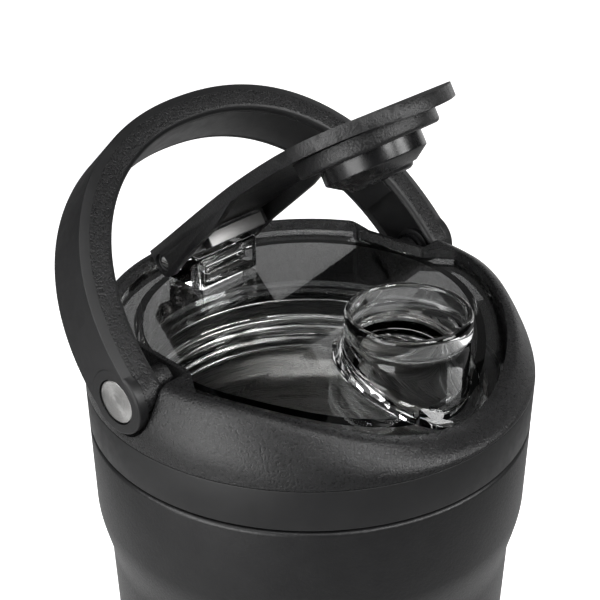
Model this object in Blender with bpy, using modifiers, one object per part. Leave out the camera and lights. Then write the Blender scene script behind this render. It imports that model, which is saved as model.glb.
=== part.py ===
"""Insulated growler: double-walled steel bottle, screw-on lid with a clear top and pouring spout,
flip-up stopper cap on a hinge pin, and a carry handle that swings on two side pivots.

Metres, +Z up along the bottle's axis, origin at the middle of the base. The spout is on the -Y side,
the cap's hinge on the +Y side, and the handle's pivots are on -X and +X.
The cap stands open and the handle leans back, which is the rest pose.
"""
import math

import bmesh
import bpy
from mathutils import Matrix, Vector

MM = 0.001
MERGE = 0.00001
ROUND_STEPS = 48
GAP = 0.4 * MM

# Bottle
SEAM_Z = 205 * MM
BODY_R = 65 * MM
WAIST_R = 62 * MM
FOOT_R = 60 * MM
SHELL_WALL = 0.9 * MM
WAIST_START = 26 * MM
WAIST_END = 46 * MM
FOOT_CORNER = 8 * MM
LIP_R = 50 * MM
LIP_Z = 1.4 * MM
LINER_R = 58.6 * MM
LINER_WALL = 0.8 * MM
LINER_FLOOR_Z = 8.5 * MM
NECK_R = 52.8 * MM
NECK_RISE = 4.7 * MM

# Screw thread: round ridges inside the neck and outside the lid's skirt
PITCH = 4 * MM
RIDGE_R = 1.0 * MM
RIDGE_TURNS = 2
LINER_RIDGE_AT = 51.6 * MM
SKIRT_RIDGE_AT = 50.2 * MM
RIDGE_LOW_Z = SEAM_Z - 9 * MM

# Lid
BAND_TOP = 12.5 * MM
BAND_WALL = 6.4 * MM
COLLAR_BORE = 56 * MM
COLLAR_SLEEVE_R = 58.2 * MM
SHOULDER = ((56, 0), (58.4, 0.6), (59.4, 1.5), (60.4, 2.8), (61.6, 4.7), (62.8, 6.9), (63.8, 9.2),
            (64.6, 12), (65, 15))
RIM_RISE = 31.8 * MM
RIM_BEND_Y = -15 * MM
RIM_BEND_R = 65 * MM
WINDOW_DROP = 3 * MM
WINDOW_THICK = 2.4 * MM
WINDOW_R = 55.5 * MM
SKIRT_R = 50 * MM
SKIRT_WALL = 2.5 * MM
FLANGE_R = 55.3 * MM
FLANGE_Z = SEAM_Z + 7 * MM
FLANGE_THICK = 2.5 * MM

# Spout
SPOUT_Y = -35 * MM
SPOUT_R = 17.3 * MM
SPOUT_BORE = 15.2 * MM
SPOUT_TOP = SEAM_Z + 41.6 * MM
SPOUT_BEAD_DROP = 6 * MM
SPOUT_FOOT_R = 20.3 * MM
SPOUT_FOOT_GAP = 1.5 * MM

# Handle
PIVOT_Y = 7.51 * MM
PIVOT_Z = SEAM_Z + 26.34 * MM
HANDLE_LEAN = math.radians(43.65)
BOW_OUTER = (66.6 * MM, 68.2 * MM)
BOW_INNER = (56.8 * MM, 60.2 * MM)
BOW_POWER = 2.21
BOW_HALF_WIDTH = 9 * MM
GRIP_THICK = 2.8 * MM
BOSS_R = 9.2 * MM
BOSS_X = 63.4 * MM
EYE_R = 7.4 * MM
DISC_R = 6 * MM
SCREW_R = 2.4 * MM
HUB_R = 6.4 * MM
POCKET_R = 10.6 * MM
POCKET_Y = 8.6 * MM
POCKET_Z = SEAM_Z + 25.9 * MM
HUB_END_X = 54.8 * MM
HOUSING_TOP = SEAM_Z + 31.5 * MM
HOUSING_FLOOR = POCKET_Z - POCKET_R - 1.5 * MM

# Cap, built closed over the spout and then opened
HINGE_Y = 42.4 * MM
HINGE_Z = SEAM_Z + 36.5 * MM
CAP_OPEN = math.radians(32)
HEAD_R = 25.8 * MM
ARM_THICK = 3.6 * MM
ARM_CURVE = (50.72, -1.88, -4.58, 1.29)
ARM_UNDER = SEAM_Z + 47 * MM
EAR_HALF = 17 * MM
EAR_WALL = 2.6 * MM
EAR_R = 5 * MM
CARRIER_R = 19.2 * MM
PLUG_R = 13.9 * MM
PLUG_TIP_R = 8 * MM
PIN_R = 1.8 * MM
BARREL_R = 4.6 * MM
BARREL_HALF = 11.6 * MM

for old in list(bpy.data.objects):
    bpy.data.objects.remove(old, do_unlink=True)

parts = bpy.data.collections.new("growler")
cutters = bpy.data.collections.new("cutters")
for group in (parts, cutters):
    bpy.context.scene.collection.children.link(group)


# ---------------------------------------------------------------- materials
def material(name, colour, roughness, metallic=0.0, transmission=0.0):
    mat = bpy.data.materials.new(name)
    mat.use_nodes = True
    shader = mat.node_tree.nodes["Principled BSDF"]
    shader.inputs["Base Color"].default_value = (*colour, 1)
    shader.inputs["Roughness"].default_value = roughness
    shader.inputs["Metallic"].default_value = metallic
    shader.inputs["Transmission Weight"].default_value = transmission
    mat.diffuse_color = (*colour, 1)
    return mat


POWDER_COAT = material("powder_coat", (0.012, 0.012, 0.013), 0.45)
STEEL = material("steel", (0.62, 0.61, 0.60), 0.25, metallic=1)
BRUSHED = material("brushed_steel", (0.58, 0.57, 0.56), 0.35, metallic=1)
TEXTURED = material("textured_black", (0.014, 0.014, 0.015), 0.5)
SATIN = material("satin_black", (0.02, 0.02, 0.021), 0.55)
GLOSS = material("gloss_black", (0.008, 0.008, 0.009), 0.15)
SILICONE = material("silicone", (0.03, 0.03, 0.032), 0.6)
CLEAR = material("clear_plastic", (0.9, 0.92, 0.93), 0.03, transmission=1)


# ---------------------------------------------------------------- shape helpers
def add_object(name, mesh, group=parts, mat=None):
    obj = bpy.data.objects.new(name, mesh)
    group.objects.link(obj)
    if mat:
        mesh.materials.clear()
        mesh.materials.append(mat)
    if group is cutters:
        obj.hide_render = True
        obj.display_type = "WIRE"
    return obj


def smooth(obj, angle=35):
    obj.data.shade_smooth()
    obj.data.set_sharp_from_angle(angle=math.radians(angle))


def turned(name, profile, mat=None, group=parts, closed=True, steps=ROUND_STEPS):
    """A profile of (radius, z) points, running down its outer side, turned about the Z axis."""
    edges = [(i, i + 1) for i in range(len(profile) - 1)]
    if closed:
        edges.append((len(profile) - 1, 0))
    mesh = bpy.data.meshes.new(name)
    mesh.from_pydata([(r, 0, z) for r, z in profile], edges, [])
    obj = add_object(name, mesh, group, mat)
    screw = obj.modifiers.new("turn", "SCREW")
    screw.steps = screw.render_steps = steps
    screw.use_merge_vertices = True
    screw.merge_threshold = MERGE
    screw.use_smooth_shade = True
    return obj


def freeze(obj):
    """Replace the object by a plain mesh of its evaluated shape in world space, welded."""
    graph = bpy.context.evaluated_depsgraph_get()
    mesh = bpy.data.meshes.new_from_object(obj.evaluated_get(graph))
    mesh.transform(obj.matrix_world)
    shape = bmesh.new()
    shape.from_mesh(mesh)
    bmesh.ops.remove_doubles(shape, verts=shape.verts, dist=MERGE)
    bmesh.ops.recalc_face_normals(shape, faces=shape.faces)
    shape.to_mesh(mesh)
    shape.free()
    name = obj.name
    group = obj.users_collection[0]
    bpy.data.objects.remove(obj, do_unlink=True)
    return add_object(name, mesh, group)


# Each maps an outline's (across, up) and its thickness direction to world axes.
ALONG_X = Matrix(((0, 0, 1, 0), (1, 0, 0, 0), (0, 1, 0, 0), (0, 0, 0, 1)))
ALONG_Z = Matrix.Identity(4)


def slab(name, outline, low, high, axes=ALONG_X, mat=None, group=cutters):
    """A flat outline with thickness from low to high along the axis that axes names."""
    curve = bpy.data.curves.new(name, "CURVE")
    curve.dimensions = "2D"
    curve.fill_mode = "BOTH"
    curve.extrude = (high - low) / 2
    spline = curve.splines.new("POLY")
    spline.points.add(len(outline) - 1)
    for point, (across, up) in zip(spline.points, outline):
        point.co = (across, up, 0, 1)
    spline.use_cyclic_u = True
    obj = add_object(name, curve, group)
    obj.matrix_world = axes @ Matrix.Translation((0, 0, (high + low) / 2))
    bpy.context.view_layer.update()
    obj = freeze(obj)
    if mat:
        obj.data.materials.clear()
        obj.data.materials.append(mat)
    return obj


def rod(name, radius, low, high, centre, axes=ALONG_X, mat=None, group=cutters, steps=32):
    outline = arc(centre, radius, 0, 360 - 360 / steps, steps - 1)
    return slab(name, outline, low, high, axes, mat, group)


def boolean(obj, other, operation):
    """Join, cut or keep the overlap with another shape, which becomes a hidden cutter."""
    if other.name not in cutters.objects:
        for group in other.users_collection:
            group.objects.unlink(other)
        cutters.objects.link(other)
        other.hide_render = True
        other.display_type = "WIRE"
    step = obj.modifiers.new(operation.lower(), "BOOLEAN")
    step.operation = operation
    step.solver = "EXACT"
    step.object = other
    return obj


def arc(centre, radius, start, end, count):
    """Points on a circle, with the angles in degrees."""
    points = []
    for i in range(count + 1):
        angle = math.radians(start + (end - start) * i / count)
        points.append((centre[0] + radius * math.cos(angle), centre[1] + radius * math.sin(angle)))
    return points


def offset_wall(points, wall):
    return [(r - wall, z) for r, z in reversed(points)]


def move_origin(obj, point):
    """Put the object's origin on its joint's axis without moving its shape."""
    obj.data.transform(Matrix.Translation(-Vector(point)))
    obj.location = point


# ---------------------------------------------------------------- shared curves
def rim_height(y):
    """Height of the lid's rim: level at the back, and falling along an arc towards the spout."""
    level = SEAM_Z + RIM_RISE
    past = RIM_BEND_Y - y
    if past <= 0:
        return level
    return level - RIM_BEND_R + math.sqrt(RIM_BEND_R ** 2 - past ** 2)


def window_slab(name, top_gap, bottom_z=None, half=60 * MM):
    """A slab whose top follows the rim, top_gap lower; its bottom follows too, or lies at bottom_z."""
    ys = [-half + (half + RIM_BEND_Y) * i / 10 for i in range(11)] + [half]
    top = [(y, rim_height(y) - top_gap) for y in ys]
    if bottom_z is None:
        bottom = [(y, z - WINDOW_THICK) for y, z in reversed(top)]
    else:
        bottom = [(half, bottom_z), (-half, bottom_z)]
    return slab(name, bottom[::-1] + top[::-1], -half, half)


def waist_profile(count):
    """The body's outer wall below its straight top: a smooth step in, then a slow taper."""
    points = [(BODY_R, SEAM_Z - WAIST_START)]
    for i in range(1, count + 1):
        t = i / count
        ease = t * t * (3 - 2 * t)
        points.append((BODY_R - (BODY_R - WAIST_R) * ease, SEAM_Z - WAIST_START - (WAIST_END - WAIST_START) * t))
    return points


# ---------------------------------------------------------------- bottle
def build_bottle():
    corner = (FOOT_R - FOOT_CORNER, LIP_Z + FOOT_CORNER)
    top_edge = arc((BODY_R - 1.4 * MM, SEAM_Z - 1.8 * MM), 1.4 * MM, 90, 0, 3)
    wall = top_edge + waist_profile(6) + arc(corner, FOOT_CORNER, 0, -90, 5)
    lip_in = [(LIP_R, LIP_Z), (LIP_R, LIP_Z + SHELL_WALL)]
    inner_corner = arc(corner, FOOT_CORNER - SHELL_WALL, -90, 0, 3)
    inner = inner_corner + offset_wall(waist_profile(3), SHELL_WALL)
    inner.append((BODY_R - 2 * MM, SEAM_Z - GAP - SHELL_WALL))
    neck_edge = [(NECK_R + GAP, SEAM_Z - GAP - SHELL_WALL), (NECK_R + GAP, SEAM_Z - GAP)]
    turned("outer_shell", wall + lip_in + inner + neck_edge, POWDER_COAT)

    disc_top = LIP_Z + 1 * MM
    disc_r = LIP_R - 0.5 * MM
    turned("base_disc", [(0, disc_top), (disc_r, disc_top), (disc_r, LIP_Z), (0, LIP_Z)], BRUSHED, closed=False)
    pad_r = 46 * MM
    pad_top = LIP_Z - GAP
    turned("base_pad", [(0, pad_top), (pad_r, pad_top), (pad_r, 0.3 * MM), (pad_r - 0.3 * MM, 0), (0, 0)],
           SILICONE, closed=False)
    build_liner()


def build_liner():
    """Steel vessel: wide below, a neck above, and a round screw ridge on the neck's inside."""
    rim_z = SEAM_Z + NECK_RISE
    rim = [(51.7 * MM, rim_z), (53.2 * MM, rim_z), (53.2 * MM, rim_z - 1.3 * MM), (NECK_R, rim_z - 1.3 * MM)]
    shoulder = [(NECK_R, SEAM_Z - 10 * MM)]
    for i in range(1, 5):
        t = i / 4
        ease = t * t * (3 - 2 * t)
        shoulder.append((NECK_R + (LINER_R - NECK_R) * ease, SEAM_Z - (10 + 16 * t) * MM))
    corner_r = 7 * MM
    corner = (LINER_R - corner_r, LINER_FLOOR_Z + corner_r)
    outside = rim + shoulder + arc(corner, corner_r, 0, -90, 4) + [(0, LINER_FLOOR_Z)]
    inside = [(0, LINER_FLOOR_Z + LINER_WALL)] + arc(corner, corner_r - LINER_WALL, -90, 0, 4)
    inside += offset_wall(shoulder, LINER_WALL) + [(NECK_R - LINER_WALL, rim_z - 1 * MM)]
    liner = turned("inner_liner", inside + outside, STEEL, closed=False)
    ridge = helix("liner_ridge", LINER_RIDGE_AT, RIDGE_LOW_Z + PITCH / 2)
    boolean(liner, ridge, "UNION")


def helix(name, radius, low_z):
    """A round ridge along a right-handed screw line, with filled ends."""
    per_turn = 32
    curve = bpy.data.curves.new(name, "CURVE")
    curve.dimensions = "3D"
    curve.bevel_depth = RIDGE_R
    curve.bevel_resolution = 1
    curve.use_fill_caps = True
    count = round(per_turn * RIDGE_TURNS)
    spline = curve.splines.new("POLY")
    spline.points.add(count)
    for i, point in enumerate(spline.points):
        turn = i / per_turn
        angle = 2 * math.pi * turn
        point.co = (radius * math.cos(angle), radius * math.sin(angle), low_z + PITCH * turn, 1)
    obj = add_object(name, curve, cutters)
    bpy.context.view_layer.update()
    return freeze(obj)


# ---------------------------------------------------------------- lid
def build_collar():
    """Ring whose rim follows rim_height, so each section around it has its own height: a loft."""
    sleeve_z = SEAM_Z + 1 * MM
    shelf_z = SEAM_Z + BAND_TOP + GAP
    steps = 64
    shape = bmesh.new()
    rings = []
    for i in range(steps):
        angle = 2 * math.pi * i / steps
        across, along = math.cos(angle), math.sin(angle)
        top = rim_height(COLLAR_BORE * along)
        deepest = SHOULDER[-1][1] * MM
        squash = min(1.0, (top - shelf_z - 0.5 * MM) / deepest)
        section = [(BODY_R, shelf_z)]
        section += [(r * MM, top - drop * MM * squash) for r, drop in reversed(SHOULDER[1:])]
        section += [(COLLAR_BORE + 0.5 * MM, top), (COLLAR_BORE, top - 0.5 * MM), (COLLAR_BORE, sleeve_z)]
        section += [(COLLAR_SLEEVE_R, sleeve_z), (COLLAR_SLEEVE_R, shelf_z)]
        rings.append([shape.verts.new((r * across, r * along, z)) for r, z in section])
    for ring, following in zip(rings, rings[1:] + rings[:1]):
        for k in range(len(ring)):
            n = (k + 1) % len(ring)
            shape.faces.new((ring[k], following[k], following[n], ring[n]))
    bmesh.ops.recalc_face_normals(shape, faces=shape.faces)
    mesh = bpy.data.meshes.new("lid_collar")
    shape.to_mesh(mesh)
    shape.free()
    collar = add_object("lid_collar", mesh, mat=TEXTURED)
    for side, label in ((-1, "left"), (1, "right")):
        centre = (PIVOT_Y, PIVOT_Z)
        housing = slab(f"housing_{label}", housing_plan(side), HOUSING_FLOOR, HOUSING_TOP, ALONG_Z)
        boolean(collar, housing, "UNION")
        pocket = side_slab(f"pocket_{label}", pocket_outline(), side, 40 * MM, 75 * MM)
        boolean(pocket, slab(f"pocket_plan_{label}", pocket_plan(side), SEAM_Z, SEAM_Z + 70 * MM, ALONG_Z),
                "INTERSECT")
        boolean(collar, pocket, "DIFFERENCE")
        hub = rod(f"hub_{label}", HUB_R, *sorted((side * 49 * MM, side * HUB_END_X)), centre, steps=36)
        boolean(collar, hub, "UNION")
        screw_hole = arc(centre, SCREW_R + GAP, 0, 345, 23)
        boolean(collar, side_slab(f"screw_hole_{label}", screw_hole, side, 53 * MM, 60 * MM), "DIFFERENCE")
    return collar


def side_slab(name, outline, side, near, far, mat=None, group=cutters):
    low, high = sorted((side * near, side * far))
    return slab(name, outline, low, high, mat=mat, group=group)


def pocket_outline():
    """Side view of the room the handle's leg turns in: round below, upright in front, leaning back behind."""
    lean = math.degrees(HANDLE_LEAN)
    bottom = arc((POCKET_Y, POCKET_Z), POCKET_R, 180, 360 - lean, 14)
    reach = 30 * MM
    back = (bottom[-1][0] + reach * math.sin(HANDLE_LEAN), bottom[-1][1] + reach * math.cos(HANDLE_LEAN))
    return bottom + [back, (bottom[0][0], back[1])]


def housing_plan(side, grow=0.0):
    """Top view of the box around the pocket: a nearly straight wall across the opening, and its ends."""
    points = [(49 - grow, -2.2 - 0.6 * grow), (47.2 - grow, 21.5 + 0.4 * grow), (50.4 - grow, 26.4 + grow)]
    if grow:
        points += [(60, 26.4 + grow), (60, -11.5 - grow)]
    else:
        points += [(51.4, 24.8), (54.9, 15.5), (56.8, 4), (56.4, -8)]
    points.append((55.9 - 1.2 * grow, -11.5 - 1.2 * grow))
    return [(side * x * MM, y * MM) for x, y in points]


def pocket_plan(side):
    points = [(50.4, -1.5), (48.6, 21.5), (48.6, 45), (75, 45), (75, -14), (59.5, -14)]
    return [(side * x * MM, y * MM) for x, y in points]


def build_band():
    """Smooth ring between the bottle and the collar."""
    soft = 0.5 * MM
    low, high = SEAM_Z + GAP, SEAM_Z + BAND_TOP
    bore = BODY_R - BAND_WALL
    turned("lid_band", [(bore, high), (BODY_R - soft, high), (BODY_R, high - soft), (BODY_R, low + soft),
                        (BODY_R - soft, low), (bore, low)], SATIN, steps=64)


def build_gasket():
    low, high = SEAM_Z + NECK_RISE + GAP, FLANGE_Z - 0.3 * MM
    turned("lid_gasket", [(51 * MM, high), (54.6 * MM, high), (54.6 * MM, low), (51 * MM, low)], SILICONE)


def build_window():
    """Clear sheet that follows the rim, cut for the pivot housings and the spout, with the hinge block."""
    window = window_slab("clear_window", WINDOW_DROP)
    parts.objects.link(window)
    cutters.objects.unlink(window)
    window.hide_render = False
    window.display_type = "TEXTURED"
    window.data.materials.append(CLEAR)
    disc = rod("window_disc", WINDOW_R, SEAM_Z, SEAM_Z + 60 * MM, (0, 0), ALONG_Z, steps=ROUND_STEPS)
    boolean(window, disc, "INTERSECT")
    for side, label in ((-1, "left"), (1, "right")):
        notch = slab(f"window_notch_{label}", housing_plan(side, 0.4), SEAM_Z + 12 * MM, SEAM_Z + 45 * MM, ALONG_Z)
        boolean(window, notch, "DIFFERENCE")
    boolean(window, hinge_block(), "UNION")
    slot = [(30 * MM, SEAM_Z + 31.5 * MM), (35 * MM, SEAM_Z + 31.5 * MM), (35 * MM, SEAM_Z + 35.8 * MM),
            (30 * MM, SEAM_Z + 35.8 * MM)]
    boolean(window, slab("hinge_slot", slot, -9.5 * MM, 9.5 * MM), "DIFFERENCE")
    boolean(window, rod("hinge_bore", PIN_R + 0.35 * MM, -20 * MM, 20 * MM, (HINGE_Y, HINGE_Z), steps=20),
            "DIFFERENCE")
    boolean(window, spout_bore("window_bore"), "DIFFERENCE")


def build_skirt():
    """Clear threaded skirt, and above it the flange that presses the gasket with its wall under the window."""
    top = FLANGE_Z - 0.3 * MM
    low = SEAM_Z - 12 * MM
    inner = SKIRT_R - SKIRT_WALL
    skirt = turned("thread_skirt", [(inner, top), (SKIRT_R, top), (SKIRT_R, low), (inner, low)], CLEAR)
    boolean(skirt, helix("skirt_ridge", SKIRT_RIDGE_AT, RIDGE_LOW_Z), "UNION")

    tall = SEAM_Z + 35 * MM
    flange_top = FLANGE_Z + FLANGE_THICK
    flange = turned("lid_flange", [(inner, tall), (SKIRT_R, tall), (SKIRT_R, flange_top),
                                   (FLANGE_R, flange_top), (FLANGE_R, FLANGE_Z), (inner, FLANGE_Z)], CLEAR)
    under = WINDOW_DROP + WINDOW_THICK + 0.3 * MM
    boolean(flange, window_slab("under_window", under, SEAM_Z - 30 * MM), "INTERSECT")
    for side, label in ((-1, "left"), (1, "right")):
        notch = slab(f"flange_notch_{label}", housing_plan(side, 0.4), SEAM_Z + 12 * MM, SEAM_Z + 45 * MM, ALONG_Z)
        boolean(flange, notch, "DIFFERENCE")


def spout_bore(name):
    return rod(name, SPOUT_BORE, SEAM_Z + 14 * MM, SPOUT_TOP + 5 * MM, (0, SPOUT_Y), ALONG_Z, steps=40)


def build_spout():
    """Clear spout: thick rolled mouth above a groove, and a foot that flares onto the window."""
    top = SPOUT_TOP
    bead_low = top - SPOUT_BEAD_DROP
    base = SEAM_Z + 14 * MM
    profile = [(SPOUT_R - 1.2 * MM, top), (SPOUT_R - 0.3 * MM, top - 0.4 * MM), (SPOUT_R, top - 1.2 * MM),
               (SPOUT_R, bead_low + 0.6 * MM), (SPOUT_R - 0.7 * MM, bead_low),
               (SPOUT_R - 0.7 * MM, bead_low - 3 * MM), (SPOUT_R, bead_low - 7 * MM), (SPOUT_R, base),
               (SPOUT_BORE, base), (SPOUT_BORE, top)]
    spout = turned("spout", profile, CLEAR, steps=40)
    spout.location.y = SPOUT_Y
    inner = SPOUT_BORE + 1 * MM
    foot = turned("spout_foot", [(inner, top), (SPOUT_FOOT_R, top), (SPOUT_FOOT_R, base - MM), (inner, base - MM)],
                  group=cutters, steps=40)
    foot.location.y = SPOUT_Y
    boolean(foot, window_slab("foot_top", SPOUT_FOOT_GAP, SEAM_Z), "INTERSECT")
    boolean(spout, foot, "UNION")
    seat = WINDOW_DROP - 0.3 * MM
    ceiling = SEAM_Z + 70 * MM
    above = [(-60 * MM, ceiling), (0, ceiling), (0, rim_height(0) - seat)]
    for i in range(11):
        y = RIM_BEND_Y + (-60 * MM - RIM_BEND_Y) * i / 10
        above.append((y, rim_height(y) - seat))
    boolean(spout, slab("above_window", above, -30 * MM, 30 * MM), "INTERSECT")


def hinge_block():
    barrel = arc((HINGE_Y, HINGE_Z), BARREL_R, 160, 0, 9)
    front = 32 * MM
    outline = [(front, SEAM_Z + 28 * MM), (front, SEAM_Z + 38.9 * MM)] + barrel
    outline += [(HINGE_Y + BARREL_R, SEAM_Z + 28 * MM)]
    return slab("hinge_block", outline, -BARREL_HALF, BARREL_HALF)


# ---------------------------------------------------------------- handle
def bow_outline(inner, outer):
    """An arch between two superellipses (half width, height) that share BOW_POWER."""
    def sweep(size, reverse):
        points = []
        for i in range(41):
            angle = math.pi * i / 40
            across, up = math.cos(angle), math.sin(angle)
            x = size[0] * math.copysign(abs(across) ** (2 / BOW_POWER), across)
            points.append((x, size[1] * abs(up) ** (2 / BOW_POWER)))
        return points[::-1] if reverse else points
    return sweep(outer, False) + sweep(inner, True)


def lean_axes():
    """Outline x stays along X and its height runs up the leaning handle; thickness faces the spout."""
    up = Vector((0, math.sin(HANDLE_LEAN), math.cos(HANDLE_LEAN)))
    face = Vector((1, 0, 0)).cross(up)
    axes = Matrix.Identity(4)
    for row in range(3):
        axes[row][0] = (1, 0, 0)[row]
        axes[row][1] = up[row]
        axes[row][2] = face[row]
    return Matrix.Translation((0, PIVOT_Y, PIVOT_Z)) @ axes


def build_handle():
    """Textured outer bow with round ends on the pivots, and a smooth grip strip set on its inside."""
    pivot = (0, PIVOT_Y, PIVOT_Z)
    split = (BOW_INNER[0] + GRIP_THICK, BOW_INNER[1] + GRIP_THICK)
    bow = slab("handle_bow", bow_outline(split, BOW_OUTER), -BOW_HALF_WIDTH, BOW_HALF_WIDTH, lean_axes(),
               TEXTURED, parts)
    grip_outer = (split[0] - GAP, split[1] - GAP)
    grip_width = BOW_HALF_WIDTH - 0.8 * MM
    grip = slab("handle_grip", bow_outline(BOW_INNER, grip_outer), -grip_width, grip_width, lean_axes(),
                SATIN, parts)
    for side, label in ((-1, "left"), (1, "right")):
        centre = (PIVOT_Y, PIVOT_Z)
        for part, radius, near, far in (("eye", EYE_R, BOW_INNER[0], 64 * MM), ("boss", BOSS_R, BOSS_X, 65.6 * MM)):
            round_end = rod(f"{part}_{label}", radius, *sorted((side * near, side * far)), centre, steps=36)
            boolean(bow, round_end, "UNION")
        bore = rod(f"boss_bore_{label}", SCREW_R + GAP, *sorted((side * 50 * MM, side * 64.2 * MM)), centre,
                   steps=24)
        boolean(bow, bore, "DIFFERENCE")
        seat = rod(f"disc_seat_{label}", DISC_R + GAP, *sorted((side * 64 * MM, side * 72 * MM)), centre)
        boolean(bow, seat, "DIFFERENCE")
        clear = rod(f"grip_end_{label}", BOSS_R + GAP, *sorted((side * 50 * MM, side * 70 * MM)), centre,
                    steps=36)
        boolean(grip, clear, "DIFFERENCE")
    for obj in (bow, grip):
        move_origin(obj, pivot)
    for side, label in ((-1, "left"), (1, "right")):
        centre = (PIVOT_Y, PIVOT_Z)
        disc = rod(f"pivot_disc_{label}", DISC_R, *sorted((side * 64.4 * MM, side * 66.4 * MM)), centre,
                   mat=BRUSHED, group=parts, steps=40)
        washer = rod(f"pivot_washer_{label}", 5 * MM, *sorted((side * 55.2 * MM, side * 56.4 * MM)), centre,
                     mat=GLOSS, group=parts, steps=28)
        hole = rod(f"washer_hole_{label}", SCREW_R + GAP, *sorted((side * 50 * MM, side * 60 * MM)), centre,
                   steps=24)
        boolean(washer, hole, "DIFFERENCE")
        screw = rod(f"pivot_screw_{label}", SCREW_R, *sorted((side * 53.4 * MM, side * 63.6 * MM)), centre,
                    mat=STEEL, group=parts, steps=20)
        for obj in (disc, washer, screw):
            move_origin(obj, pivot)


# ---------------------------------------------------------------- cap
def arm_height(y):
    """Height of the closed arm's arched top, which falls a little faster at its tip."""
    u = (y - SPOUT_Y) / (50 * MM)
    tip = max(0.0, -0.3 - u)
    level, slope, bend, twist = ARM_CURVE
    return SEAM_Z + (level + slope * u + bend * u * u + twist * u ** 3 - 18 * tip * tip) * MM


def arm_side(depth, front, back, count=14):
    """Side view of a strip under the arm's top, depth thick."""
    ys = [front + (back - front) * i / count for i in range(count + 1)]
    top = [(y, arm_height(y)) for y in ys]
    return [(y, z - depth) for y, z in top] + top[::-1]


def arm_plan(inset):
    """Top view: a round head over the spout and straight sides back to the two hinge ears."""
    radius = HEAD_R - inset
    half = EAR_HALF - inset
    back = HINGE_Y + EAR_R + 1 * MM
    lean = math.degrees(math.atan2(HEAD_R - EAR_HALF, back - SPOUT_Y))
    head = arc((0, SPOUT_Y), radius, 180 - lean, 360 + lean, 40)
    return head + [(half, back), (-half, back)]


def build_cap():
    low, high = SEAM_Z + 20 * MM, SEAM_Z + 60 * MM
    back = HINGE_Y + EAR_R
    arm = slab("cap_arm", arm_side(ARM_THICK, SPOUT_Y - HEAD_R - 2 * MM, back), -30 * MM, 30 * MM,
               mat=TEXTURED, group=parts)
    boolean(arm, slab("arm_plan", arm_plan(0), low, high, ALONG_Z), "INTERSECT")
    between = [(36.6 * MM, low), (60 * MM, low), (60 * MM, high), (36.6 * MM, high)]
    inner_half = EAR_HALF - EAR_WALL
    boolean(arm, slab("between_ears", between, -inner_half, inner_half), "DIFFERENCE")

    side = slab("arm_sides", flange_outline(), -30 * MM, 30 * MM)
    boolean(side, slab("side_plan", arm_plan(0), low, high, ALONG_Z), "INTERSECT")
    boolean(side, slab("side_hollow", arm_plan(EAR_WALL), low - MM, high + MM, ALONG_Z), "DIFFERENCE")
    boolean(arm, side, "UNION")

    boolean(arm, rod("carrier_seat", CARRIER_R + GAP, ARM_UNDER - 8 * MM, ARM_UNDER, (0, SPOUT_Y), ALONG_Z,
                     steps=48), "DIFFERENCE")
    rib = [(29.4 * MM, SEAM_Z + 35.6 * MM), (31 * MM, SEAM_Z + 35.6 * MM), (31 * MM, SEAM_Z + 40.5 * MM),
           (29.4 * MM, SEAM_Z + 41 * MM)]
    boolean(arm, slab("arm_rib", rib, -inner_half - MM, inner_half + MM), "UNION")
    boolean(arm, rod("arm_barrel_room", BARREL_R + 0.7 * MM, -inner_half, inner_half, (HINGE_Y, HINGE_Z)),
            "DIFFERENCE")
    boolean(arm, rod("ear_bore", PIN_R + 0.35 * MM, -20 * MM, 20 * MM, (HINGE_Y, HINGE_Z), steps=20),
            "DIFFERENCE")

    seat_z = SPOUT_TOP + 0.35 * MM
    carrier = [(0, ARM_UNDER - 0.3 * MM), (CARRIER_R, ARM_UNDER - 0.3 * MM), (CARRIER_R, seat_z + 0.8 * MM),
               (CARRIER_R - 0.8 * MM, seat_z), (PLUG_R + 0.4 * MM, seat_z), (PLUG_R + 0.4 * MM, seat_z + 3 * MM),
               (0, seat_z + 3 * MM)]
    carrier = turned("stopper_carrier", carrier, TEXTURED, closed=False, steps=48)
    plug_top = seat_z + 2.6 * MM
    plug_low = seat_z - 7.9 * MM
    plug = [(0, plug_top), (PLUG_R, plug_top), (PLUG_R, plug_low + 4 * MM), (PLUG_TIP_R, plug_low), (0, plug_low)]
    plug = turned("stopper_plug", plug, GLOSS, closed=False, steps=40)
    bar = [(25.7 * MM, SEAM_Z + 35 * MM), (29 * MM, SEAM_Z + 35 * MM), (29 * MM, SEAM_Z + 39.2 * MM),
           (25.7 * MM, SEAM_Z + 39.2 * MM)]
    detent = slab("detent_plate", bar, -11.1 * MM, 11.1 * MM, mat=BRUSHED, group=parts)
    pin_half = EAR_HALF - 0.6 * MM
    pin = rod("hinge_pin", PIN_R, -pin_half, pin_half, (HINGE_Y, HINGE_Z), mat=STEEL, group=parts, steps=20)
    for obj in (carrier, plug):
        obj.location.y = SPOUT_Y
    open_cap([arm, carrier, plug, detent, pin])


def flange_outline():
    """Side view of the arm's two side walls, deepest at the hinge ears."""
    front = -12 * MM
    back = HINGE_Y
    top = [(y, arm_height(y)) for y in [front + (back - front) * i / 8 for i in range(9)]]
    ear = arc((HINGE_Y, HINGE_Z), EAR_R, 80, -100, 10)
    lower = [(30 * MM, SEAM_Z + 35 * MM), (10 * MM, SEAM_Z + 39.4 * MM)]
    return top + ear + lower


def open_cap(shapes):
    """Turn the closed cap back about the hinge pin, with each origin on the pin's axis."""
    hinge = Vector((0, HINGE_Y, HINGE_Z))
    opened = Matrix.Translation(hinge) @ Matrix.Rotation(-CAP_OPEN, 4, "X") @ Matrix.Translation(-hinge)
    bpy.context.view_layer.update()
    for obj in shapes:
        mat = obj.data.materials[0]
        plain = freeze(obj)
        plain.data.materials.clear()
        plain.data.materials.append(mat)
        plain.data.transform(opened)
        move_origin(plain, hinge)


build_bottle()
build_collar()
build_band()
build_gasket()
build_window()
build_skirt()
build_spout()
build_handle()
build_cap()
for obj in parts.objects:
    smooth(obj)
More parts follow.
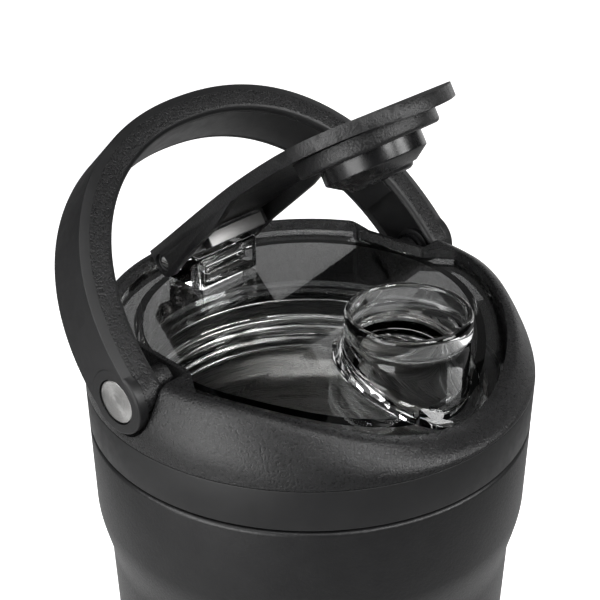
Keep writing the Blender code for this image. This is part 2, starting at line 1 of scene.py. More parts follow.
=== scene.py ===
"""Looks of the insulated growler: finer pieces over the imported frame, with procedural materials.

Metres, +Z up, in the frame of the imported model. The spout is on the -Y side, the cap's hinge on the
+Y side, and the handle's pivots are on -X and +X.
"""
import math

import bmesh
import bpy
from mathutils import Matrix, Vector


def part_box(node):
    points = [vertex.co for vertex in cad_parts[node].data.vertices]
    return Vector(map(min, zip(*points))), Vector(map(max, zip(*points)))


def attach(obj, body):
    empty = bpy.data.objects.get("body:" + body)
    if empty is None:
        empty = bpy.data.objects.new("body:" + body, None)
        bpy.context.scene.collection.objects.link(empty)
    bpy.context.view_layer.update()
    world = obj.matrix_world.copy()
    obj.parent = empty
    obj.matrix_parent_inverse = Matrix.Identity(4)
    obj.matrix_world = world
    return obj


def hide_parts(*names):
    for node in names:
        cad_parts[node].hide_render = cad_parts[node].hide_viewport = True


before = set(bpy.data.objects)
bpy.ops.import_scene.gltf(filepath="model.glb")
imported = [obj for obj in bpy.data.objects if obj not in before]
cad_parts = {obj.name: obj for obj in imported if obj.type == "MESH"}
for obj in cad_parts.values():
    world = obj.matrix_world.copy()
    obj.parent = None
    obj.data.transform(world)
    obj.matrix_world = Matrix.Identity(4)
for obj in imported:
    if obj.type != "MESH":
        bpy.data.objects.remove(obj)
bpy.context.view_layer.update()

MM = 0.001
TURN = 192  # steps in a full turn of a large round piece
SPOUT_STEPS = 128
SEAM_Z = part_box("lid_band")[0][2] - 0.4 * MM  # where the lid meets the bottle
BODY_R = 65 * MM

# handle: a superellipse arch, half widths and heights and a section in millimetres
PIVOT = Vector((0, 7.51 * MM, SEAM_Z + 26.34 * MM))
PIVOT_BORE_R = 2.8 * MM
HANDLE_LEAN = math.radians(43.65)
BOW_INNER = (56.8, 60.2)
BOW_OUTER = (66.6, 68.2)
BOW_THICK = 9.8
BOW_HALF = 9
BOW_SQUARENESS = 2.21
LEG_END = ((13, 9.28), (25, 9.26), (37, 9.18), (48, 8.9))  # (degrees below the pivot, radius)

# cap: distances from the middle and over the seam in millimetres
HINGE = Vector((0, 42.4 * MM, SEAM_Z + 36.5 * MM))
HINGE_BORE_R = 2.15 * MM
CAP_OPEN = math.radians(32)
EAR_GAP = 14.4
HEAD_UNDER = 47

# lid
SPOUT_Y = -35 * MM
SPOUT_TOP = SEAM_Z + 41.6 * MM
THREAD_PITCH = 4 * MM
THREAD_TURNS = 2
COLLAR_BORE = 56 * MM
COLLAR_SHELF = SEAM_Z + 12.9 * MM
RIM_Z = SEAM_Z + 31.8 * MM
RIM_BEND_Y = -15 * MM
RIM_BEND_R = 65 * MM
SHOULDER = ((56, 0), (57.5, 0.16), (58.5, 0.5), (59.2, 1), (59.75, 1.65), (60.2, 2.35),
            (60.85, 3.45), (61.6, 4.75), (62.4, 6.2), (63.1, 7.65), (63.7, 9.1), (64.2, 10.6),
            (64.6, 12.1), (64.87, 13.6), (65, 15.2))  # (radius, drop from the rim) in millimetres

LAMP_AIM = Vector((0, 0, 0.2))
LAMP_AWAY = 1.1


# ---------------------------------------------------------------- materials
class Look:
    """A material whose shader inputs are set by name, with helpers that add texture nodes."""

    def __init__(self, name, **inputs):
        self.mat = bpy.data.materials.new(name)
        self.mat.use_nodes = True
        self.tree = self.mat.node_tree
        self.shader = self.tree.nodes["Principled BSDF"]
        for key, value in inputs.items():
            self.set(key.replace("_", " "), value)

    def set(self, key, value):
        self.shader.inputs[key].default_value = (*value, 1) if isinstance(value, tuple) else value

    def node(self, kind, **settings):
        made = self.tree.nodes.new("ShaderNode" + kind)
        for key, value in settings.items():
            if hasattr(made, key):
                setattr(made, key, value)
            else:
                made.inputs[key.replace("_", " ")].default_value = value
        return made

    def link(self, source, target):
        self.tree.links.new(source, target)

    def coords(self, stretch=(1, 1, 1)):
        place = self.node("TexCoord")
        mapping = self.node("Mapping")
        mapping.inputs["Scale"].default_value = stretch
        self.link(place.outputs["Object"], mapping.inputs["Vector"])
        return mapping.outputs["Vector"]

    def noise(self, scale, detail=3, roughness=0.55, stretch=(1, 1, 1)):
        made = self.node("TexNoise", Scale=scale, Detail=detail, Roughness=roughness)
        self.link(self.coords(stretch), made.inputs["Vector"])
        return made.outputs["Fac"]

    def ranged(self, source, low, high, to_low, to_high):
        made = self.node("MapRange")
        limits = {"From Min": low, "From Max": high, "To Min": to_low, "To Max": to_high}
        for key, value in limits.items():
            made.inputs[key].default_value = value
        self.link(source, made.inputs["Value"])
        return made.outputs["Result"]

    def vary(self, key, source, low, high, to_low, to_high):
        """Drive a shader input with a texture."""
        self.link(self.ranged(source, low, high, to_low, to_high), self.shader.inputs[key])

    def tint(self, source, low, high, dark, light):
        """Drive the base colour between two colours."""
        mix = self.node("Mix", data_type="RGBA")
        sockets = [s for s in mix.inputs if s.type == "RGBA"]
        sockets[0].default_value = (*dark, 1)
        sockets[1].default_value = (*light, 1)
        self.link(self.ranged(source, low, high, 0, 1), mix.inputs[0])
        colour = [s for s in mix.outputs if s.type == "RGBA"][0]
        self.link(colour, self.shader.inputs["Base Color"])

    def bump(self, layers):
        """Chain of (height source, strength, depth in metres)."""
        normal = None
        for source, strength, depth in layers:
            made = self.node("Bump", Strength=strength, Distance=depth)
            self.link(source, made.inputs["Height"])
            if normal:
                self.link(normal, made.inputs["Normal"])
            normal = made.outputs["Normal"]
        self.link(normal, self.shader.inputs["Normal"])


def powder_coat():
    look = Look("powder_coat", Roughness=0.42, Specular_IOR_Level=0.5)
    peel = look.noise(900, 2, 0.5)
    fine = look.noise(2600, 2, 0.5)
    look.tint(look.noise(160, 3), 0.35, 0.65, (0.0055, 0.0055, 0.006), (0.0085, 0.0085, 0.009))
    look.vary("Roughness", fine, 0.3, 0.7, 0.34, 0.46)
    look.bump([(peel, 0.3, 0.00025), (fine, 0.25, 0.0001)])
    return look.mat


def grained(name, depth=0.7, rough=(0.24, 0.36)):
    look = Look(name, Specular_IOR_Level=0.5)
    grain = look.noise(1700, 3, 0.65)
    coarse = look.noise(700, 2, 0.5)
    look.tint(grain, 0.35, 0.65, (0.0065, 0.0065, 0.0068), (0.0115, 0.0115, 0.012))
    look.vary("Roughness", grain, 0.35, 0.65, *rough)
    look.bump([(coarse, 0.3, 0.0002), (grain, depth, 0.0003)])
    return look.mat


def satin():
    look = Look("satin_black", Specular_IOR_Level=0.5)
    fine = look.noise(3000, 2, 0.5)
    look.tint(look.noise(90, 3), 0.35, 0.65, (0.0075, 0.0075, 0.008), (0.0105, 0.0105, 0.011))
    look.vary("Roughness", look.noise(300, 3), 0.3, 0.7, 0.4, 0.5)
    look.bump([(fine, 0.22, 0.00006)])
    return look.mat


def gloss():
    look = Look("gloss_black", Specular_IOR_Level=0.5)
    look.tint(look.noise(120, 2), 0.3, 0.7, (0.005, 0.005, 0.0055), (0.008, 0.008, 0.0085))
    look.vary("Roughness", look.noise(500, 3), 0.3, 0.7, 0.22, 0.3)
    look.bump([(look.noise(260, 2), 0.12, 0.0002)])
    return look.mat


def steel(name, rough, stretch, colour):
    """Brushed steel, its lines drawn out along the axis with the smallest stretch."""
    look = Look(name, Metallic=1.0)
    lines = look.noise(60, 4, 0.6, stretch)
    dark = tuple(0.93 * c for c in colour)
    look.tint(lines, 0.3, 0.7, dark, colour)
    look.vary("Roughness", lines, 0.3, 0.7, *rough)
    look.bump([(lines, 0.12, 0.00005), (look.noise(60, 2), 0.1, 0.0004)])
    return look.mat


def spun_steel():
    """Steel turned on a lathe about the X axis: rings of fine lines that make a fan of light."""
    look = Look("spun_steel", Metallic=1.0, Anisotropic=0.75)
    place = look.node("TexCoord")
    centred = look.node("VectorMath", operation="SUBTRACT")
    centred.inputs[1].default_value = (0.5, 0.5, 0.5)
    look.link(place.outputs["Generated"], centred.inputs[0])
    flat = look.node("VectorMath", operation="MULTIPLY")
    flat.inputs[1].default_value = (0, 1, 1)
    look.link(centred.outputs["Vector"], flat.inputs[0])
    radius = look.node("VectorMath", operation="LENGTH")
    look.link(flat.outputs["Vector"], radius.inputs[0])
    rings = look.node("TexNoise", noise_dimensions="1D", Scale=70, Detail=4, Roughness=0.7)
    look.link(radius.outputs["Value"], rings.inputs["W"])
    tangent = look.node("Tangent", direction_type="RADIAL", axis="X")
    look.link(tangent.outputs["Tangent"], look.shader.inputs["Tangent"])
    look.tint(rings.outputs["Fac"], 0.3, 0.7, (0.5, 0.495, 0.485), (0.68, 0.675, 0.665))
    look.vary("Roughness", rings.outputs["Fac"], 0.3, 0.7, 0.24, 0.36)
    look.bump([(rings.outputs["Fac"], 0.2, 0.00004)])
    return look.mat


def clear():
    look = Look("clear_plastic", Transmission_Weight=1.0, IOR=1.5, Base_Color=(0.97, 0.975, 0.975))
    look.vary("Roughness", look.noise(200, 3), 0.3, 0.7, 0.0, 0.015)
    look.bump([(look.noise(90, 1), 0.03, 0.0003)])
    return look.mat


def silicone():
    look = Look("silicone", Specular_IOR_Level=0.4)
    look.tint(look.noise(300, 3), 0.3, 0.7, (0.02, 0.02, 0.021), (0.03, 0.03, 0.031))
    look.vary("Roughness", look.noise(900, 3), 0.3, 0.7, 0.5, 0.65)
    look.bump([(look.noise(1800, 2), 0.2, 0.00006)])
    return look.mat


POWDER = powder_coat()
GRAINED = grained("textured_black")
GRAIN_FINE = grained("textured_black_fine", depth=0.6, rough=(0.28, 0.4))
SATIN = satin()
GLOSS = gloss()
STEEL = steel("steel", rough=(0.22, 0.32), stretch=(1, 1, 60), colour=(0.8, 0.795, 0.785))
BAR_STEEL = steel("brushed_steel", rough=(0.3, 0.42), stretch=(8, 60, 60),
                  colour=(0.2, 0.198, 0.195))
SPUN = spun_steel()
CLEAR = clear()
SILICONE = silicone()


# ---------------------------------------------------------------- shape helpers
def mm(*points):
    """Points given in millimetres."""
    return [tuple(value * MM for value in point) for point in points]


def over_seam(*points):
    """(across, height over the seam) in millimetres, with a fillet's radius where one follows."""
    return [(across * MM, SEAM_Z + height * MM, *(radius * MM for radius in rest))
            for across, height, *rest in points]


def soften(obj, sharp=32):
    obj.data.shade_smooth()
    obj.data.set_sharp_from_angle(angle=math.radians(sharp))


def finish_mesh(name, shape, *mats, sharp=32):
    bmesh.ops.remove_doubles(shape, verts=shape.verts, dist=1e-6)
    bmesh.ops.dissolve_degenerate(shape, edges=shape.edges, dist=1e-7)
    bmesh.ops.recalc_face_normals(shape, faces=shape.faces)
    mesh = bpy.data.meshes.new(name)
    shape.to_mesh(mesh)
    shape.free()
    obj = bpy.data.objects.new(name, mesh)
    bpy.context.scene.collection.objects.link(obj)
    for mat in mats:
        mesh.materials.append(mat)
    soften(obj, sharp)
    return obj


def loft(name, rings, *mats, loop=True, closed=True, faces_of=None, sharp=32):
    """Skin over rings of equal length. loop joins the last ring to the first, closed joins each
    ring's ends, and faces_of(k) gives the material slot of the strip that starts at point k."""
    shape = bmesh.new()
    verts = [[shape.verts.new(p) for p in ring] for ring in rings]
    pairs = list(zip(verts, verts[1:] + verts[:1])) if loop else list(zip(verts, verts[1:]))
    count = len(verts[0])
    for ring, following in pairs:
        for k in range(count if closed else count - 1):
            n = (k + 1) % count
            face = shape.faces.new((ring[k], following[k], following[n], ring[n]))
            if faces_of:
                face.material_index = faces_of(k)
    if not loop:
        shape.faces.new(verts[0])
        shape.faces.new(verts[-1])
    return finish_mesh(name, shape, *mats, sharp=sharp)


def lathe(name, outline, *mats, centre=(0, 0, 0), axis="Z", steps=TURN, sharp=32):
    """An outline of (radius, height) points turned about an axis through centre. An outline whose
    first and last points are on the axis is left open there."""
    on_axis = outline[0][0] == 0 and outline[-1][0] == 0
    rings = []
    for i in range(steps):
        angle = 2 * math.pi * i / steps
        c, s = math.cos(angle), math.sin(angle)
        if axis == "Z":
            rings.append([Vector(centre) + Vector((r * c, r * s, h)) for r, h in outline])
        else:
            rings.append([Vector(centre) + Vector((h, r * c, r * s)) for r, h in outline])
    return loft(name, rings, *mats, closed=not on_axis, sharp=sharp)


def rings_about_z(steps, section_at, centre_y=0.0):
    """Rings of a turned shape whose section of (radius, height) points changes with the angle."""
    rings = []
    for i in range(steps):
        angle = 2 * math.pi * i / steps
        c, s = math.cos(angle), math.sin(angle)
        rings.append([(r * c, centre_y + r * s, z) for r, z in section_at(angle)])
    return rings


def filleted(points, steps=4):
    """A closed outline of (a, b, radius) corners, each rounded to its radius."""
    result = []
    count = len(points)
    for i, (a, b, radius) in enumerate(points):
        here = Vector((a, b))
        if radius == 0:
            result.append((a, b))
            continue
        before = (Vector(points[i - 1][:2]) - here).normalized()
        after = (Vector(points[(i + 1) % count][:2]) - here).normalized()
        half = before.angle(after) / 2
        reach = radius / math.tan(half)
        centre = here + (before + after).normalized() * (radius / math.sin(half))
        start = here + before * reach - centre
        end = here + after * reach - centre
        sweep = math.atan2(start.x * end.y - start.y * end.x, start.dot(end))
        for k in range(steps + 1):
            turned = Matrix.Rotation(sweep * k / steps, 2) @ start
            result.append(tuple(centre + turned))
    return result


def arc(centre, radius, start, end, count):
    points = []
    for i in range(count + 1):
        angle = math.radians(start + (end - start) * i / count)
        points.append((centre[0] + radius * math.cos(angle), centre[1] + radius * math.sin(angle)))
    return points


def prism(name, outline, low, high, *mats, axis="X", bevel=0.0, sharp=32):
    """An outline with thickness along an axis, its long edges rounded by bevel."""
    place = {"X": lambda a, b, t: (t, a, b), "Z": lambda a, b, t: (a, b, t)}[axis]
    shape = bmesh.new()
    ends = [[shape.verts.new(place(a, b, t)) for a, b in outline] for t in (low, high)]
    rims = [shape.faces.new(end) for end in ends]
    count = len(outline)
    for k in range(count):
        n = (k + 1) % count
        shape.faces.new((ends[0][k], ends[1][k], ends[1][n], ends[0][n]))
    if bevel:
        edges = list({e for face in rims for e in face.edges})
        bmesh.ops.bevel(shape, geom=edges, offset=bevel, segments=3, profile=0.5, affect="EDGES",
                        clamp_overlap=True)
    return finish_mesh(name, shape, *mats, sharp=sharp)


def layer(name, outline, low, high):
    """A plan view between two heights over the seam, in millimetres."""
    return prism(name, outline, SEAM_Z + low * MM, SEAM_Z + high * MM, axis="Z")


def crosswise(name, outline, half, *mats, bevel=0.0):
    """A side view, half millimetres wide on each side of the middle."""
    return prism(name, outline, -half * MM, half * MM, *mats, bevel=bevel)


def sided(name, outline, side, near, far):
    """A side view between two distances from the middle, in millimetres, on one side."""
    low, high = sorted((side * near * MM, side * far * MM))
    return prism(name, outline, low, high)


def apply_modifiers(obj):
    bpy.context.view_layer.update()
    graph = bpy.context.evaluated_depsgraph_get()
    mesh = bpy.data.meshes.new_from_object(obj.evaluated_get(graph))
    obj.modifiers.clear()
    old = obj.data
    obj.data = mesh
    bpy.data.meshes.remove(old)


def combine(obj, other, operation):
    """Boolean with another shape, which is used up."""
    step = obj.modifiers.new("step", "BOOLEAN")
    step.operation = operation
    step.solver = "EXACT"
    step.object = other
    apply_modifiers(obj)
    bpy.data.objects.remove(other, do_unlink=True)
    return obj


def add(obj, other):
    return combine(obj, other, "UNION")


def cut(obj, other):
    return combine(obj, other, "DIFFERENCE")


def keep(obj, other):
    return combine(obj, other, "INTERSECT")


def bevel_edges(obj, width, segments=2, angle=40):
    step = obj.modifiers.new("bevel", "BEVEL")
    step.width = width
    step.segments = segments
    step.limit_method = "ANGLE"
    step.angle_limit = math.radians(angle)
    step.use_clamp_overlap = True
    step.miter_outer = "MITER_ARC"
    apply_modifiers(obj)


def put(obj, body, slot, *nodes):
    """Say what the piece rides on and which CAD nodes it stands for. The slot argument is not used.
    """
    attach(obj, body)
    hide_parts(*nodes)


# ---------------------------------------------------------------- shared curves
def ease(t):
    return t * t * (3 - 2 * t)


def rim_height(y):
    """Level from the back to the middle, then falling along an arc towards the spout's side."""
    past = RIM_BEND_Y - y
    if past <= 0:
        return RIM_Z
    return RIM_Z - RIM_BEND_R + math.sqrt(RIM_BEND_R ** 2 - past ** 2)


def slope_slab(name, top_gap, *mats, thick=0.0, bottom=None):
    """A sheet that follows the rim, top_gap under it, or a block down to bottom whose top does."""
    half = 60 * MM
    ys = [-half + (half + RIM_BEND_Y) * i / 40 for i in range(41)] + [half]
    top = [(y, rim_height(y) - top_gap) for y in ys]
    if bottom is None:
        low = [(y, z - thick) for y, z in top]
    else:
        low = [(-half, bottom), (half, bottom)]
    return prism(name, low + top[::-1], -half, half, *mats)


def rows_down(start, end, step):
    rows = []
    while start > end:
        rows.append(start)
        start -= step
    return rows


def thread_bump(angle, z, low_z, height):
    """Height of a rounded screw ridge that fades at both of its ends."""
    best = 0.0
    turn = angle / (2 * math.pi)
    for k in range(-1, THREAD_TURNS + 1):
        along = turn + k
        if not 0 <= along <= THREAD_TURNS:
            continue
        away = abs(z - (low_z + THREAD_PITCH * along)) / (1.35 * MM)
        if away < 1:
            fade = min(1.0, along / 0.12, (THREAD_TURNS - along) / 0.12)
            best = max(best, height * fade * math.cos(away * math.pi / 2) ** 1.4)
    return best


# ---------------------------------------------------------------- bottle
def make_bottle():
    wall = [(BODY_R - 1.7 * MM, SEAM_Z - 0.4 * MM)]
    wall += arc((BODY_R - 1.3 * MM, SEAM_Z - 1.7 * MM), 1.3 * MM, 90, 0, 6)
    for i in range(25):
        t = i / 24
        wall.append((BODY_R - 3 * MM * ease(t), SEAM_Z - (26 + 20 * t) * MM))
    foot = arc((52 * MM, 9.4 * MM), 8 * MM, 0, -90, 12)
    inside = mm((50, 1.4), (50, 2.3), (52, 2.3), (59.1, 9.4))
    inside += over_seam((61.1, -46), (64.1, -26), (64.1, -3), (62.9, -1.3),
                        (53.2, -1.3), (53.2, -0.4))
    shell = lathe("bottle_shell", wall + foot + inside, POWDER)
    put(shell, "bottle", "powder_coat", "outer_shell")

    plate = mm((0, 2.4), (49, 2.4), (49.5, 2), (49.5, 1.4), (0, 1.4))
    put(lathe("base_plate", plate, BAR_STEEL), "bottle", "brushed_steel", "base_disc")
    pad = mm((0, 1), (45.7, 1), (46, 0.7), (46, 0.3), (45.7, 0), (38, 0), (37.4, 0.5), (30, 0.5),
             (29.4, 0), (0, 0))
    put(lathe("foot_pad", pad, SILICONE), "bottle", "silicone", "base_pad")
    make_vessel()


def make_vessel():
    """Steel vessel with a screw ridge inside its neck, a shoulder under it and a round bottom."""
    top = SEAM_Z + 4.7 * MM
    rows = rows_down(top - 0.6 * MM, SEAM_Z - 14 * MM, 0.3 * MM)
    shoulder = [(52 + 5.8 * ease(i / 12), 14 + 16 * i / 12) for i in range(13)]

    def section(angle):
        points = [(52.4 * MM, top - 0.1 * MM), (52.15 * MM, top - 0.3 * MM)]
        points += [(52 * MM - thread_bump(angle, z, SEAM_Z - 7 * MM, 1.25 * MM), z) for z in rows]
        points += [(r * MM, SEAM_Z - drop * MM) for r, drop in shoulder]
        points += arc((50.9 * MM, 16.2 * MM), 6.9 * MM, 0, -90, 8)
        points += mm((0, 9.3), (0, 8.5), (50.9, 8.5), (58.6, 16))
        points += over_seam((58.6, -30), (52.8, -14))
        return points + [(52.8 * MM, top - 1.3 * MM), (53.2 * MM, top - 1.2 * MM),
                         (53.2 * MM, top - 0.4 * MM), (52.9 * MM, top)]

    vessel = loft("vessel", rings_about_z(TURN, section), STEEL, sharp=40)
    put(vessel, "bottle", "steel", "inner_liner")


# ---------------------------------------------------------------- lid
def collar_section(angle):
    """The rounded shoulder is squashed where the rim comes down towards the shelf."""
    top = rim_height(COLLAR_BORE * math.sin(angle))
    squash = min(1.0, (top - COLLAR_SHELF - 0.6 * MM) / (15.2 * MM))
    section = [(64.85 * MM, COLLAR_SHELF), (65 * MM, COLLAR_SHELF + 0.15 * MM)]
    section += [(r * MM, top - drop * MM * squash) for r, drop in reversed(SHOULDER[1:])]
    section += [(56.5 * MM, top - 0.03 * MM), (56.15 * MM, top - 0.15 * MM),
                (COLLAR_BORE, top - 0.45 * MM)]
    return section + over_seam((56, 1), (58.2, 1)) + [(58.2 * MM, COLLAR_SHELF)]


def make_collar():
    collar = loft("collar", rings_about_z(256, collar_section), GRAINED, sharp=30)
    for side in (-1, 1):
        add(collar, layer("housing", housing_plan(side), 13.8, 31.7))
        pocket = sided("pocket", pocket_outline(), side, 40, 75)
        keep(pocket, layer("plan", pocket_plan(side), 0, 70))
        cut(collar, pocket)
        add(collar, sided("hub", arc(PIVOT.yz, 4.2 * MM, 0, 355, 71), side, 49, 54.8))
        cut(collar, sided("hole", arc(PIVOT.yz, PIVOT_BORE_R, 0, 345, 23), side, 53, 60))
    bevel_edges(collar, 0.35 * MM, 2, 45)
    soften(collar, 30)
    put(collar, "lid", "textured_black", "lid_collar")

    band = filleted(over_seam((58.6, 0.4, 0), (65, 0.4, 0.5), (65, 12.76, 0.15), (58.6, 12.76, 0)))
    put(lathe("band", band, SATIN, steps=256), "lid", "satin_black", "lid_band")
    ring = filleted(over_seam((51, 5.1, 0.4), (54.6, 5.1, 0.4), (54.6, 6.7, 0.4), (51, 6.7, 0.4)))
    put(lathe("seal_ring", ring, SILICONE), "lid_seal", "silicone", "lid_gasket")


def pocket_outline():
    """Side view of the leg's room: round below, upright in front, leaning back behind."""
    bottom = arc((8.6 * MM, SEAM_Z + 25.9 * MM), 10.6 * MM, 180, 360 - math.degrees(HANDLE_LEAN),
                 48)
    reach = 30 * MM
    back = (bottom[-1][0] + reach * math.sin(HANDLE_LEAN),
            bottom[-1][1] + reach * math.cos(HANDLE_LEAN))
    return bottom + [back, (bottom[0][0], back[1])]


def housing_plan(side, grow=0.0):
    """Plan view of the fin beside a pocket. A grown one reaches under the collar's bore as well."""
    points = [(49 - grow, -2.2 - 0.6 * grow), (47.2 - grow, 21.5 + 0.4 * grow),
              (50.4 - grow, 26.4 + grow)]
    if grow:
        points += [(60, 26.4 + grow), (60, -11.5 - grow)]
    else:
        points += [(51.1, 24.5), (54.6, 15.3), (56.4, 4), (56.1, -8)]
    points.append((55.6 - 1.2 * grow, -11.2 - 1.2 * grow))
    return [(side * x * MM, y * MM) for x, y in points]


def pocket_plan(side):
    points = [(50.4, -1.5), (48.6, 21.5), (48.6, 45), (75, 45), (75, -14), (59.5, -14)]
    return [(side * x * MM, y * MM) for x, y in points]


# ---------------------------------------------------------------- clear moulding
def make_clear_lid():
    lid = slope_slab("clear_lid", 3 * MM, CLEAR, thick=2.4 * MM)
    keep(lid, layer("disc", arc((0, 0), 55.5 * MM, 0, 360 - 360 / TURN, TURN - 1), 0, 60))
    for side in (-1, 1):
        cut(lid, layer("notch", housing_plan(side, 0.4), 12, 45))
    add(lid, hinge_block())
    bore = arc((0, SPOUT_Y), 16.2 * MM, 0, 360 - 360 / SPOUT_STEPS, SPOUT_STEPS - 1)
    cut(lid, layer("bore", bore, 0, 60))
    add(lid, loft("spout_shape", rings_about_z(SPOUT_STEPS, spout_section, SPOUT_Y), CLEAR))
    add(lid, skirt_shape())
    lid.data.materials.clear()
    lid.data.materials.append(CLEAR)
    soften(lid, 30)
    put(lid, "lid", "clear_plastic", "clear_window", "lid_flange", "thread_skirt", "spout")


def hinge_block():
    """Block with a window through its front and a round back about the hinge pin."""
    outline = filleted(over_seam((32, 28, 0), (32, 38.9, 1.1), (36, 38.6, 0)))
    outline += arc(HINGE.yz, 4.6 * MM, 150, 0, 14)
    outline.append((HINGE.y + 4.6 * MM, SEAM_Z + 27.5 * MM))
    block = crosswise("block", outline, 11.6, bevel=0.7 * MM)
    slot = filleted([(30, 31.5, 0), (35, 31.5, 0.4), (35, 35.8, 0.4), (30, 35.8, 0)])
    cut(block, crosswise("slot", over_seam(*slot), 9.5))
    return cut(block, crosswise("pin_bore", arc(HINGE.yz, HINGE_BORE_R, 0, 345, 23), 20))


def spout_section(angle):
    """Thick rolled mouth, a groove under it, and a foot whose flare follows the sloping sheet."""
    def sheet(r):
        return rim_height(SPOUT_Y + r * MM * math.sin(angle)) - 3 * MM

    mouth = ((16.2, 0), (16.7, 0.12), (17.05, 0.5), (17.25, 1.1), (17.3, 1.8), (17.3, 4.6),
             (17.2, 5.4), (16.9, 6), (16.55, 6.5), (16.5, 7.2), (16.6, 8), (16.9, 8.8))
    flare = ((18.2, 2.3), (19.1, 1.9), (19.9, 1.5), (20.3, 0.9), (20.35, -0.8), (16, -0.8),
             (15.9, -2.9), (15.5, -3.1), (15.2, -2.7))
    bore = ((15.2, 1.2), (15.35, 0.55), (15.7, 0.12))
    section = [(r, SPOUT_TOP - drop * MM) for r, drop in mouth]
    start = section[-1][1]
    foot = sheet(18)
    for t in (0.3, 0.6, 0.85):
        section.append((16.9 + 0.5 * t, start + (foot + 3.4 * MM - start) * t))
    section.append((17.6, foot + 3 * MM))
    section += [(r, sheet(r) + rise * MM) for r, rise in flare]
    section += [(r, SPOUT_TOP - drop * MM) for r, drop in bore]
    return [(r * MM, z) for r, z in section]


def skirt_shape():
    """Threaded skirt with a flange above the neck, cut off inside the sloping sheet."""
    low = SEAM_Z - 12 * MM
    rows = rows_down(SEAM_Z + 4 * MM, low + 0.5 * MM, 0.4 * MM)

    def section(angle):
        points = over_seam((47.5, 36), (50, 36), (50, 9.5), (55.3, 9.5), (55.3, 7), (50, 7))
        points += [(50 * MM + thread_bump(angle, z, SEAM_Z - 9 * MM, 1.1 * MM), z) for z in rows]
        return points + [(50 * MM, low + 0.4 * MM), (49.6 * MM, low), (47.9 * MM, low),
                         (47.5 * MM, low + 0.4 * MM)]

    skirt = loft("skirt_shape", rings_about_z(TURN, section), CLEAR)
    for side in (-1, 1):
        cut(skirt, layer("notch", housing_plan(side, 0.4), 12, 45))
    return keep(skirt, slope_slab("under", 3.9 * MM, bottom=SEAM_Z - 30 * MM))


# ---------------------------------------------------------------- handle
def bow_point(size, t):
    """A point of the arch, a superellipse with the given half width and height in millimetres."""
    angle = math.pi * t
    across, up = math.cos(angle), math.sin(angle)
    power = 2 / BOW_SQUARENESS
    return (size[0] * MM * math.copysign(abs(across) ** power, across),
            size[1] * MM * abs(up) ** power)


def bow_place():
    """The handle's directions: up along it, and the way its front faces."""
    up = Vector((0, math.sin(HANDLE_LEAN), math.cos(HANDLE_LEAN)))
    face = Vector((0, -math.cos(HANDLE_LEAN), math.sin(HANDLE_LEAN)))
    return up, face


def bow_loft(name, section, start, end, count, mats, faces_of=None):
    """A section of (mm out from the inner curve, mm across) swept along the arch. A whole arch goes
    on below its pivots, following the round of its ends."""
    up, face = bow_place()
    stations = [(start + (end - start) * i / count, 0, 1) for i in range(count + 1)]
    if start == 0:
        turns = [(math.radians(degrees), radius / BOW_HALF) for degrees, radius in LEG_END]
        below = [(-BOW_HALF * MM * share * math.sin(turn), share * math.cos(turn))
                 for turn, share in turns]
        stations = [(0, *b) for b in below[::-1]] + stations + [(1, *b) for b in below]
    rings = []
    for t, extra, narrow in stations:
        inner = Vector(bow_point(BOW_INNER, t))
        outer = Vector(bow_point(BOW_OUTER, t))
        ring = []
        for depth, width in section:
            spot = inner + (outer - inner) * (depth / BOW_THICK)
            place = PIVOT + Vector((spot.x, 0, 0)) + up * (spot.y + extra)
            ring.append(place + face * width * narrow * MM)
        rings.append(ring)
    return loft(name, rings, *mats, loop=False, faces_of=faces_of, sharp=28)


def on_pivot(name, outline, side, mat):
    """A round part on the handle's pivot, from (radius, distance from the middle) in mm."""
    outline = [(r * MM, side * h * MM) for r, h in outline]
    return lathe(name, outline, mat, centre=tuple(PIVOT), axis="X", steps=96)


def make_handle():
    """Bow with a smooth outer face, a facet and a grained front, and a strip set in its inside."""
    facet = BOW_THICK - 2.6
    outline = filleted([(BOW_THICK, -8.3, 0.25), (BOW_THICK, 8.3, 0.25), (facet, BOW_HALF, 0.3),
                        (0, BOW_HALF, 1.9), (0, 6.9, 0.12), (1.7, 6.8, 0), (1.7, -7.7, 0),
                        (0, -7.8, 0.12), (0, -BOW_HALF, 0.8), (facet, -BOW_HALF, 0.3)], 5)

    def finish_of(k):
        """Slot 1, smooth, on the outer face, the facet and the groove, and slot 0 elsewhere."""
        here, following = outline[k], outline[(k + 1) % len(outline)]
        out = (here[0] + following[0]) / 2
        across = abs(here[1] + following[1]) / 2
        return 1 if out > facet - 0.1 or (out < 2.4 and across < BOW_HALF - 0.05) else 0

    bow = bow_loft("handle", outline, 0, 1, 160, (GRAINED, SATIN), finish_of)
    eye = filleted([(0, 56.9, 0), (6, 56.9, 0.3), (6, 64, 0), (0, 64, 0)], 3)
    boss = filleted([(0, 63.3, 0), (9.2, 63.3, 0.3), (9.2, 66.5, 0.6), (0, 66.5, 0)], 5)
    for side in (-1, 1):
        for part in (eye, boss):
            add(bow, on_pivot("round_end", part, side, SATIN))
        cut(bow, sided("bore", arc(PIVOT.yz, PIVOT_BORE_R, 5, 350, 23), side, 50, 64.2))
        cut(bow, sided("seat", arc(PIVOT.yz, 6.3 * MM, 2, 357, 71), side, 64, 72))
    soften(bow, 28)
    put(bow, "handle", "textured_black", "handle_bow")
    make_grip()

    disc = filleted([(0, 64.4, 0), (6, 64.4, 0.15), (6, 66.3, 0.3), (0, 66.3, 0)], 3)
    for side, label in ((-1, "left"), (1, "right")):
        put(on_pivot(f"pivot_cap_{label}", disc, side, SPUN), "handle", "brushed_steel",
            f"pivot_disc_{label}")
        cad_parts[f"pivot_washer_{label}"].data.materials[0] = GLOSS
        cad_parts[f"pivot_screw_{label}"].data.materials[0] = STEEL


